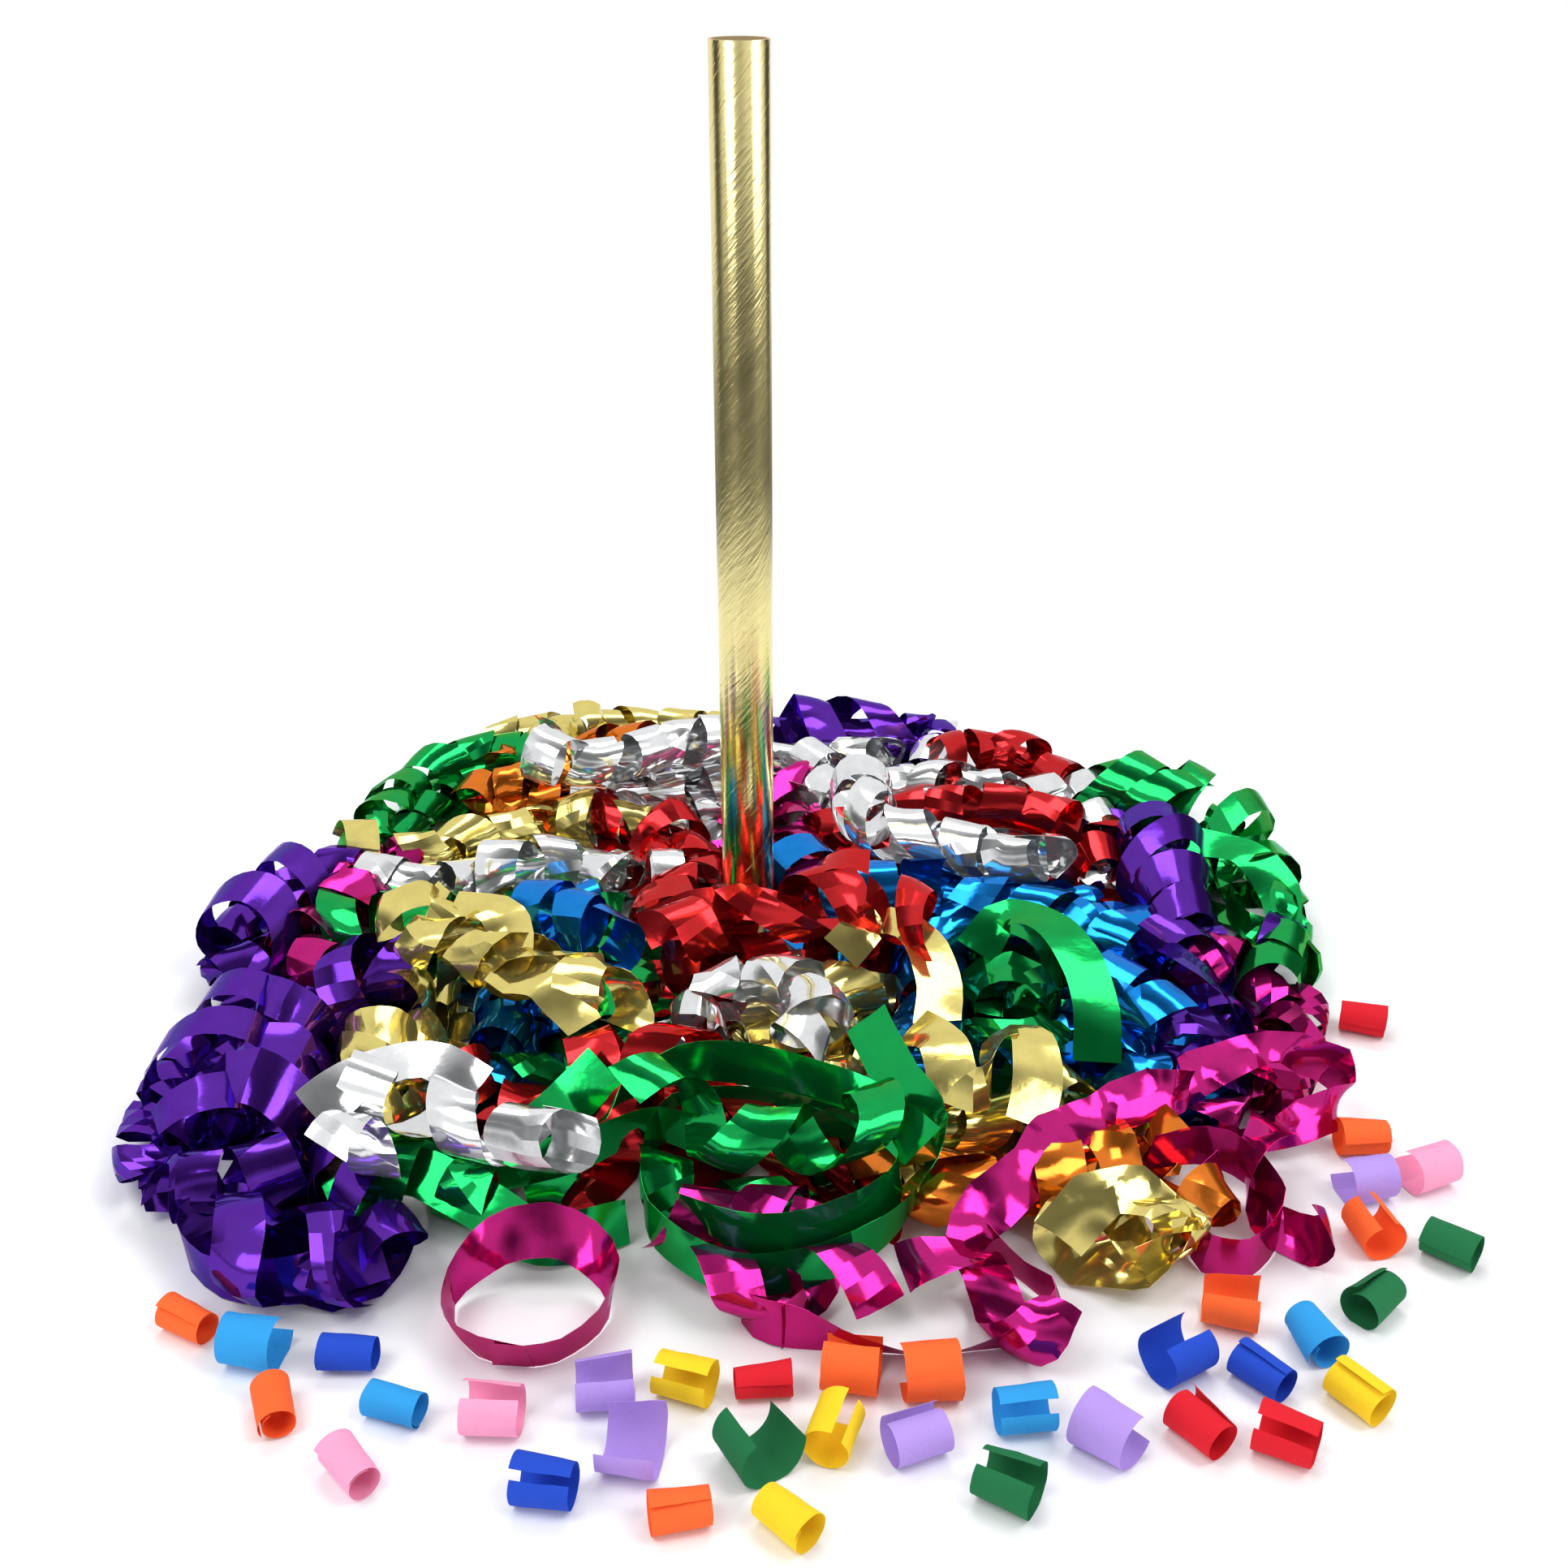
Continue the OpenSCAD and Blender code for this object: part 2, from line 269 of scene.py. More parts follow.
class Lay:
    """The line that a strip follows, with the radius of its curls or its lean as the fourth part."""

    def __init__(self, stops):
        self.points = smooth_line(stops)
        self.runs = [0.0]
        for a, b in zip(self.points, self.points[1:]):
            self.runs.append(self.runs[-1] + (b - a).xyz.length)
        self.length = self.runs[-1]

    def at(self, run):
        i = min(max(bisect.bisect_right(self.runs, run), 1), len(self.runs) - 1)
        share = (run - self.runs[i - 1]) / (self.runs[i] - self.runs[i - 1])
        a = self.points[i - 1]
        return a + share * (self.points[i] - a)

    def ahead(self, run):
        step = 2 * MM
        return (self.at(run + step) - self.at(run - step)).xyz.normalized()


# How each kind of streamer curls: its passes along the route (offset to the side, height and radius, in
# millimetres), the pitch of its curls, the length and roundness of the facets between its creases, the flare
# of a curl, its lean, its swing against the next curl and its crumpling
KINDS = {
    "chain": {
        "passes": [(-7, 9, 8.5), (2, 17, 10.5)],
        "pitch": 22, "facet": 13, "round": 0.95, "flare": 0.3, "lean": 0.8, "swing": 0.45, "crumple": 0.1,
    },
    "loose": {
        "passes": [(-7, 11, 10.5), (2, 18, 16)],
        "pitch": 33, "facet": 22, "round": 0.9, "flare": 0.4, "lean": 1.1, "swing": 0.2, "crumple": 0.2,
    },
    "crumpled": {
        "passes": [(-8, 10, 9.5), (3, 18, 13.5)],
        "pitch": 28, "facet": 14, "round": 0.6, "flare": 0.5, "lean": 1.3, "swing": 0.2, "crumple": 0.5,
    },
}
KINDS["low"] = {**KINDS["loose"], "passes": [(-5, 8.5, 8), (4, 11, 10)], "pitch": 27}
KINDS["wide"] = {
    **KINDS["loose"],
    "facet": 16, "round": 0.85, "flare": 0.25, "lean": 0.6, "swing": 0.35,
}
KINDS["open"] = {**KINDS["loose"], "passes": [(0, 13, 12.5)], "pitch": 38, "facet": 18, "lean": 0.5}
KINDS["bundle"] = {**KINDS["crumpled"], "passes": [(-6, 10, 9.5), (3, 17, 13)]}
KINDS["roll"] = {**KINDS["chain"], "pitch": 26, "facet": 15}

# Kinds that end with their route and have no strip under their curls
BARE_KINDS = ("open", "bundle", "roll")

# The passes of the streamers that lie on top of others
UPPER_PASSES = {
    "chain": [(-5, 10, 9), (5, 15, 10.5)],
    "loose": [(0, 15, 14)],
    "open": [(0, 14, 12.5)],
    "roll": [(0, 12.5, 11.5)],
    "crumpled": [(-5, 11, 10.5), (5, 15, 13)],
}

# The stops of a pass: their shares of the route, sway in millimetres and range of sizes
PASS_SHARES = (0.1, 0.3, 0.5, 0.7, 0.9)
PASS_SWAY = 3
PASS_SIZES = (0.85, 1.12)

# The stops of a tail: how far onward and aside in cells, then the rise and the radius in millimetres
TAIL = [(0.5, 0.4, 3, 12), (0.8, 1.1, 5, 13)]

# The outline of the heap, which is an ellipse, and how clear of the tube a strip stays, in cells
HEAP_HALF_X = 7.3
HEAP_HALF_Y = 6.6
HEAP_MID_Y = -0.5
TUBE_CLEAR = 1.2

# The grid of a strip and its creases; a band whose crumpling is large has shorter, flatter facets
ROWS_ACROSS = 4
FACET_ROWS = 4
LEAST_FACETS = 3
CREASE_SHIFT = 0.35
CREASE_SLANT = 9 * MM
BAND_FACET = 20 * MM
BAND_ROUND = 0.75
CRUMPLED_FROM = 2
CRUMPLED_FACET = 13 * MM
CRUMPLED_ROUND = 0.15

# The noise: its span, the grain of the crumpling, and the rows that the parts of a curl read
NOISE_SPAN = 50
BAND_GRAIN = 14 * MM
CURL_GRAIN = 9 * MM
WAVER_CURLS = 2
SIZE_ROW = 9
TURN_ROW = 0
FLARE_ROW = 7
YAW_ROW = 5
TIP_ROW = 3
SIZE_WAVER = 0.3
TURN_WAVER = 0.5

# The folds under a streamer: reach in cells, height in millimetres and lean in degrees
FOLD_STEPS = 6
FOLD_COUNT = 9
FOLD_REACH = (0.7, 1.2)
FOLD_HEIGHT = (2, 9)
FOLD_LEAN = (60, 120)
FOLD_CRUMPLE = 1.8
FOLD_CLEAR = 0.95

# The curls between two streamers: shares of the way with radii in millimetres, sway and rise in millimetres
BRIDGE_STOPS = [(0, 11), (0.35, 12), (0.7, 12), (1, 10)]
BRIDGE_SWAY = 6
BRIDGE_RISE = 3
BRIDGE_PITCH = 26 * MM
BRIDGE_LEAST = 0.9 * CELL


def route(stops, share):
    """A point of the parabola through a streamer's start, middle and end, and its direction there."""
    start, middle, end = [CELL * Vector((*stop, 0)) for stop in stops]
    bend = 2 * middle - (start + end) / 2
    point = (1 - share) ** 2 * start + 2 * share * (1 - share) * bend + share**2 * end
    slope = (1 - share) * (bend - start) + share * (end - bend)
    return point, slope.normalized()


def in_heap(point, clear=TUBE_CLEAR):
    """Whether a strip may lie at a point: inside the heap's outline and some cells clear of the tube."""
    x, y = point.x / CELL, point.y / CELL
    inside = (x / HEAP_HALF_X) ** 2 + ((y - HEAP_MID_Y) / HEAP_HALF_Y) ** 2 < 1
    return inside and x**2 + y**2 > clear**2


def tail_stops(line):
    """Stops that carry a line on over its neighbours, to a side where the heap goes on."""
    end = line[-1].xyz
    onward = (line[-1] - line[-2]).xyz.normalized()
    for side in (1, -1):
        beside = Vector((onward.y, -onward.x, 0)) * side
        spots = [end + CELL * (ahead * onward + aside * beside) for ahead, aside, _, _ in TAIL]
        if in_heap(spots[-1]):
            return [
                Vector((spot.x, spot.y, spot.z + rise * MM, radius * MM))
                for spot, (_, _, rise, radius) in zip(spots, TAIL)
            ]
    return []


def lay_out(stops, kind, tier, chance):
    """The line of a streamer: along its route, back again if it has a second pass, then its tail."""
    line = []
    passes = UPPER_PASSES[kind] if tier else KINDS[kind]["passes"]
    for number, (offset, height, radius) in enumerate(passes):
        shares = PASS_SHARES[::-1] if number % 2 else PASS_SHARES
        for share in shares:
            point, slope = route(stops, share)
            beside = Vector((slope.y, -slope.x, 0))
            place = point + (offset + chance.uniform(-PASS_SWAY, PASS_SWAY)) * MM * beside
            size = radius * chance.uniform(*PASS_SIZES)
            lift = tier * UPPER_TIER + (height + size - radius) * MM
            line.append(Vector((place.x, place.y, lift, size * MM)))
    if kind not in BARE_KINDS:
        line += tail_stops(line)
    return Lay(line)


def strip_length(bend, steps=400):
    """The length of a strip along its middle."""
    points = [bend(step / steps, 0) for step in range(steps + 1)]
    return sum((b - a).length for a, b in zip(points, points[1:]))


def creased(bend, facet, roundness, chance):
    """The same strip, nearly flat between slanting creases at uneven steps."""
    length = strip_length(bend)
    count = max(LEAST_FACETS, round(length / facet))
    marks = [(number + chance.uniform(-CREASE_SHIFT, CREASE_SHIFT)) / count for number in range(1, count)]
    marks = [0, *marks, 1]
    slants = [0, *[chance.uniform(-1, 1) * CREASE_SLANT / length for _ in marks[2:]], 0]
    smooth = functools.cache(bend)

    def bend_facets(share, side):
        i = min(int(share * count), count - 1)
        t = share * count - i
        first = marks[i] + slants[i] * side
        last = marks[i + 1] + slants[i + 1] * side
        flat = smooth(first, side).lerp(smooth(last, side), t)
        return flat.lerp(smooth(first + t * (last - first), side), roundness)

    return FACET_ROWS * count, bend_facets


def strip_object(name, cuts, thickness, finish):
    """Flat strips cut as grids, each bent by a function of its share along and its share across."""
    film_sheet = bmesh.new()
    film_sheet.loops.layers.uv.new("strip")
    for rows, bend in cuts:
        flat = bmesh.ops.create_grid(
            film_sheet, x_segments=rows, y_segments=ROWS_ACROSS, size=0.5, calc_uvs=True
        )
        for vert in flat["verts"]:
            vert.co = bend(vert.co.x + 0.5, vert.co.y)
    bmesh.ops.recalc_face_normals(film_sheet, faces=film_sheet.faces)
    raised = bmesh.ops.extrude_face_region(film_sheet, geom=film_sheet.faces[:], use_keep_orig=True)
    film_sheet.normal_update()
    for vert in raised["geom"]:
        if isinstance(vert, bmesh.types.BMVert):
            vert.co += thickness * vert.normal
    film_sheet.normal_update()
    for face in film_sheet.faces:
        face.smooth = True
    for edge in film_sheet.edges:
        edge.smooth = edge.calc_face_angle(0) < SHARP_CREASE
    mesh = bpy.data.meshes.new(name)
    film_sheet.to_mesh(mesh)
    film_sheet.free()
    mesh.materials.append(finish)
    strip = bpy.data.objects.new(name, mesh)
    bpy.context.collection.objects.link(strip)
    return strip


def band(stops, crumple, chance):
    """A strip along stops of x and y in cells, height in mm and lean in degrees, which is 0 on edge."""
    lay = Lay([Vector((x * CELL, y * CELL, z * MM, math.radians(lean))) for x, y, z, lean in stops])
    drift = Vector((chance.uniform(0, NOISE_SPAN), 0, 0))

    def bend_strip(share, side):
        run = share * lay.length
        spot = lay.at(run)
        ahead = lay.ahead(run)
        beside = Vector((ahead.y, -ahead.x, 0)).normalized()
        above = beside.cross(ahead)
        point = spot.xyz + side * STRIP_W * (math.cos(spot.w) * above + math.sin(spot.w) * beside)
        point += crumple * MM * noise.noise_vector(point / BAND_GRAIN + drift)
        point.z = max(point.z, FLOOR_GAP)
        return point

    if crumple >= CRUMPLED_FROM:
        return creased(bend_strip, CRUMPLED_FACET, CRUMPLED_ROUND, chance)
    return creased(bend_strip, BAND_FACET, BAND_ROUND, chance)


def under_fold(stops, chance):
    """A strip that lies in folds across the route, under the curls of its neighbours."""
    line = []
    for number in range(FOLD_COUNT):
        point, slope = route(stops, number / FOLD_STEPS - 1 / FOLD_STEPS)
        beside = Vector((slope.y, -slope.x, 0)) * (1 if number % 2 else -1)
        spot = point + CELL * chance.uniform(*FOLD_REACH) * beside
        if not in_heap(spot, FOLD_CLEAR):
            spot = point
        if number in (0, FOLD_COUNT - 1) and not in_heap(spot, FOLD_CLEAR):
            continue
        line.append((spot.x / CELL, spot.y / CELL, chance.uniform(*FOLD_HEIGHT), chance.uniform(*FOLD_LEAN)))
    return band(line, FOLD_CRUMPLE, chance)


def curls(lay, pitch, look, floor, chance):
    """A strip in slanting curls along a line, each with its own lean, size and flare."""
    drift = Vector((chance.uniform(0, NOISE_SPAN), chance.uniform(0, NOISE_SPAN), 0))
    hand = chance.choice((-1, 1))

    def waver(run, row):
        return noise.noise(drift + Vector((run / (WAVER_CURLS * pitch), row, 0)))

    def bend_strip(share, side):
        run = share * lay.length
        across = side * STRIP_W
        radius = lay.at(run).w * (1 + SIZE_WAVER * waver(run, SIZE_ROW))
        slant = math.atan(pitch / (TAU * radius))
        turn = TAU * (run / pitch + TURN_WAVER * waver(run, TURN_ROW)) - across * math.sin(slant) / radius
        flare = 1 + 2 * look["flare"] * waver(run, FLARE_ROW) * side
        reach = radius * flare
        swing = look["swing"] * math.sin(math.pi * run / pitch)
        yaw = (look["lean"] * waver(run, YAW_ROW) + swing) * math.cos(turn)
        tip = look["lean"] * waver(run, TIP_ROW) * math.sin(turn)
        place = lay.at(run + across * math.cos(slant) + reach * (yaw + tip))
        ahead = lay.ahead(run)
        beside = Vector((ahead.y, -ahead.x, 0)).normalized()
        above = beside.cross(ahead)
        point = place.xyz + reach * (math.cos(turn) * beside * hand + math.sin(turn) * above)
        point += look["crumple"] * MM * noise.noise_vector(point / CURL_GRAIN + drift)
        point.z = max(point.z, floor)
        return point

    return creased(bend_strip, look["facet"] * MM, look["round"], chance)


def bridge(name, stops, chance):
    """Open curls from the end of a streamer to the nearest end of another that is not quite beside it."""
    here = CELL * Vector((*stops[2], 0))
    ends = []
    for other, _, tier, start, _, end in STREAMERS:
        if other != name and not tier:
            ends += [CELL * Vector((*stop, 0)) for stop in (start, end)]
    far = [end for end in ends if (end - here).length > BRIDGE_LEAST]
    there = min(far, key=lambda end: (end - here).length)
    line = []
    for share, radius in BRIDGE_STOPS:
        spot = here.lerp(there, share)
        x, y = [part + chance.uniform(-BRIDGE_SWAY, BRIDGE_SWAY) * MM for part in spot.xy]
        line.append(Vector((x, y, (radius + BRIDGE_RISE) * MM, radius * MM)))
    return curls(Lay(line), BRIDGE_PITCH, KINDS["wide"], FLOOR_GAP, chance)


def streamer(name, kind, tier, stops, seed):
    """One streamer: its curls, what it has under them, and the bands and wide curls that lie on top."""
    chance = random.Random(seed)
    look = KINDS[kind]
    floor = tier * UPPER_TIER + FLOOR_GAP
    cuts = [curls(lay_out(stops, kind, tier, chance), look["pitch"] * MM, look, floor, chance)]
    if not tier and kind not in BARE_KINDS:
        cuts.append(under_fold(stops, chance))
        cuts.append(bridge(name, stops, chance))
    for crumple, line in BANDS.get(name, []):
        cuts.append(band(line, crumple, chance))
    wide_look = KINDS["crumpled" if kind == "crumpled" else "wide"]
    for pitch, line in WIDE_CURLS.get(name, []):
        lay = Lay([Vector((x * CELL, y * CELL, z * MM, radius * MM)) for x, y, z, radius in line])
        cuts.append(curls(lay, pitch * MM, wide_look, floor, chance))
    colour = name.split("_")[0]
    strip = strip_object(name + "_film", cuts, FILM_T, film[colour])
    length = sum(strip_length(bend, rows) for rows, bend in cuts)
    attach(strip, name + "_body" if tier else "heap")
    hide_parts(name)
    "film_" + colour


# Bands: crumpling in millimetres, then stops of x and y in cells, height in millimetres and lean in degrees
BANDS = {
    "green_streamer_front_left": [
        (0.5, [
            (-4.8, -5.8, 10, -55), (-4, -5.6, 20, -60), (-3.1, -6, 16, -50), (-2.3, -6.4, 9, -35),
            (-1.4, -6.1, 9, -10),
        ]),
        (0.5, [(-2.9, -5.7, 22, -10), (-2, -5.5, 24, 0), (-1.2, -5.1, 26, 10), (-0.6, -5.3, 26, 0)]),
        (0.5, [(-2.8, -5.6, 24, -40), (-2.2, -5.2, 34, -45), (-1.7, -4.6, 40, -45)]),
    ],
    "green_streamer_front": [
        (0.5, [
            (1.4, -4, 46, -50), (1.7, -4.9, 40, -50), (2.1, -5.7, 33, -30), (1.6, -6.6, 20, -10),
            (0.5, -7.2, 16, 0), (-0.5, -7.1, 16, 0), (-1.2, -6.3, 20, 0), (-1, -5, 26, 0),
            (0.1, -4.9, 28, 0), (1.3, -5.5, 28, 0), (1.7, -6.2, 28, 10), (0.9, -6.9, 27, 5),
            (-0.1, -7, 26, 0), (-0.8, -6.6, 30, -30),
        ]),
    ],
    "magenta_streamer_front": [
        (0.5, [
            (2.4, -6.3, 12, 0), (2.9, -7, 10, 20), (3.3, -7.5, 9, 10), (2.8, -7.9, 8, -20),
            (1.9, -8.1, 6, -45), (1.1, -8, 7, -30), (0.5, -7.8, 9, 0), (-0.1, -7.6, 9, 0),
            (-0.2, -7.2, 9, 0), (0.3, -7.1, 9, 0), (0.6, -7.4, 9, 0), (0.3, -7.8, 9, 0),
        ]),
    ],
    "magenta_streamer_front_right": [
        (3.2, [
            (2.2, -7, 12, -10), (2.6, -6.5, 22, -65), (3.1, -6.1, 28, -40), (3.5, -5.6, 32, -75),
            (4, -5.2, 28, -20), (4.6, -4.9, 30, -80), (5.2, -4.7, 28, 10),
        ]),
    ],
    "magenta_streamer_right_end": [
        (0.5, [
            (4.6, -5.5, 20, 10), (5.5, -5.3, 18, 0), (6, -6, 12, 0), (5.8, -6.6, 9, 0),
            (5.3, -6.9, 9, 0), (4.9, -6.6, 9, 0), (5, -6, 12, 0), (5.4, -5.6, 16, 0),
        ]),
    ],
    "green_streamer_right_low": [
        (0.5, [
            (3, -1.9, 34, -60), (3.4, -1.5, 44, -80), (3.9, -1.9, 48, -90), (4.2, -2.6, 46, -90),
            (4.3, -3.5, 40, -90), (4.2, -4.2, 30, -90),
        ]),
    ],
    "gold_streamer_right_inner": [
        (0.5, [
            (1.2, -2, 36, -60), (1.7, -1.6, 44, -80), (2.2, -2.1, 46, -90), (2.4, -2.9, 42, -90),
            (2.3, -3.7, 38, -80),
        ]),
    ],
    "gold_streamer_right_low": [
        (1, [
            (2, -3.7, 36, -60), (2.3, -4.3, 42, -80), (2.4, -5, 37, -60), (2.8, -4.9, 34, -20),
            (2.9, -4.2, 38, 40), (3.3, -4, 42, 80), (3.4, -4.7, 40, 80), (3.2, -5.4, 30, 70),
        ]),
    ],
    "green_streamer_front_top": [
        (0.5, [
            (-1.7, -5.6, 38, 40), (-1.4, -5.2, 44, 20), (-0.5, -4.8, 46, 0), (0.6, -5, 42, -10),
            (1.5, -5.5, 38, -40), (1.9, -6.1, 38, -60),
        ]),
    ],
    "red_streamer_before_tube": [
        (1, [(-1.4, -1.5, 38, -60), (-0.6, -1.2, 44, -70), (0.2, -1.1, 42, -70), (0.9, -1.3, 36, -50)]),
    ],
    "silver_streamer_front_left": [
        (1, [(-4.9, -5.6, 44, -50), (-4.3, -5.1, 51, -80), (-3.6, -5, 52, -80), (-3.1, -5.3, 46, -60)]),
    ],
    "gold_streamer_left_top": [
        (1.8, [
            (-3.9, -1.5, 48, -50), (-3.3, -1.9, 56, -85), (-2.9, -2.6, 50, -60), (-3.1, -3.1, 46, -95),
            (-2.5, -3.4, 52, -70), (-2, -3.9, 42, -90),
        ]),
    ],
    "purple_streamer_front_left": [
        (0.5, [
            (-6, -5.6, 12, 10), (-6.4, -6.3, 9, 0), (-5.8, -6.9, 9, 0), (-4.9, -7, 10, -15),
            (-4, -6.8, 16, -40),
        ]),
    ],
    "green_streamer_right": [
        (0.5, [(6.6, 1.3, 30, -70), (7.3, 0.8, 32, -80), (7.6, 0, 26, -60), (7.5, -0.8, 18, -40)]),
    ],
    "magenta_streamer_right": [
        (3.2, [
            (5.2, -4.5, 28, -20), (6, -4.1, 30, -80), (6.9, -3.9, 24, 10), (7.4, -4.1, 16, -30),
            (6.9, -4.6, 14, 40), (6.2, -4.9, 14, 0),
        ]),
    ],
    "gold_streamer_front_right": [
        (3, [
            (3.3, -6.9, 20, -40), (3.8, -6.6, 30, -70), (4.4, -6.6, 30, -60), (4.8, -6.8, 20, -20),
            (4.2, -7.1, 12, 0),
        ]),
    ],
}

# Wide curls: pitch in millimetres, then stops of x and y in cells, height and radius in millimetres
WIDE_CURLS = {
    "red_streamer_before_tube": [
        (20, [(1.4, -0.9, 44, 17), (1.2, -1.6, 44, 18)]),
    ],
    "silver_streamer_front_left": [
        (22, [(-4.6, -5.8, 38, 9), (-4, -6, 38, 10)]),
    ],
    "gold_streamer_left_top": [
        (22, [(-2.1, -3.2, 46, 11), (-1.5, -3.5, 46, 11)]),
    ],
    "blue_streamer_left": [
        (24, [(-3.1, -0.8, 38, 12), (-2.4, -1.3, 40, 13), (-1.8, -1.9, 38, 12)]),
    ],
    "purple_streamer_left": [
        (34, [(-6.5, -2.3, 20, 17), (-6.6, -3.2, 22, 19), (-6.6, -4.2, 22, 20), (-6.4, -5.2, 21, 18)]),
    ],
    "purple_streamer_left_rear": [
        (33, [(-7, -1, 20, 17), (-6.8, -0.3, 22, 20), (-6.6, 0.5, 22, 18), (-6.4, 1.2, 20, 15)]),
    ],
    "gold_streamer_back": [
        (10, [(-2.7, 5.4, 34, 9), (-2.6, 5.05, 34, 9)]),
        (22, [(-3.3, 6, 20, 10), (-3.9, 6, 16, 12), (-4.5, 5.7, 15, 12)]),
    ],
    "purple_streamer_right": [
        (25, [(6.2, 1.9, 24, 14), (6.1, 1, 26, 17), (6, 0, 26, 18), (6, -0.9, 24, 15)]),
    ],
    "red_streamer_front": [
        (22, [(-2, -4.2, 33, 10), (-1.3, -4.2, 36, 12), (-0.5, -4.3, 34, 11)]),
        (24, [(0, -5.2, 20, 10), (0.8, -5.6, 20, 10), (1.4, -6.1, 18, 9)]),
    ],
    "magenta_streamer_front": [
        (24, [(-0.9, -6.4, 18, 9), (0, -6.5, 20, 10), (0.7, -6.4, 18, 9)]),
    ],
    "green_streamer_right": [
        (24, [(5.9, 3.6, 22, 18), (6.8, 2.8, 22, 18)]),
        (22, [(7.4, -0.9, 16, 13), (6.9, -2, 14, 12)]),
    ],
    "blue_streamer_right": [
        (22, [(1.7, -0.3, 32, 13), (2.6, -0.4, 34, 14)]),
        (20, [(3.1, -0.5, 32, 10), (4.2, -0.8, 32, 10), (5.1, -1.4, 30, 10)]),
    ],
    "blue_streamer_right_low": [
        (22, [(4.5, -2.3, 30, 12), (5.2, -3.2, 28, 13)]),
    ],
    "red_streamer_right": [
        (20, [(2.3, 2, 34, 10), (3.2, 2.1, 36, 11), (4.2, 2, 36, 11), (4.9, 1.7, 32, 10)]),
    ],
    "silver_streamer_front": [
        (20, [(-0.5, -2.8, 36, 8), (0.2, -2.8, 40, 12), (0.8, -3.4, 40, 13), (0.6, -4.1, 36, 11)]),
    ],
}

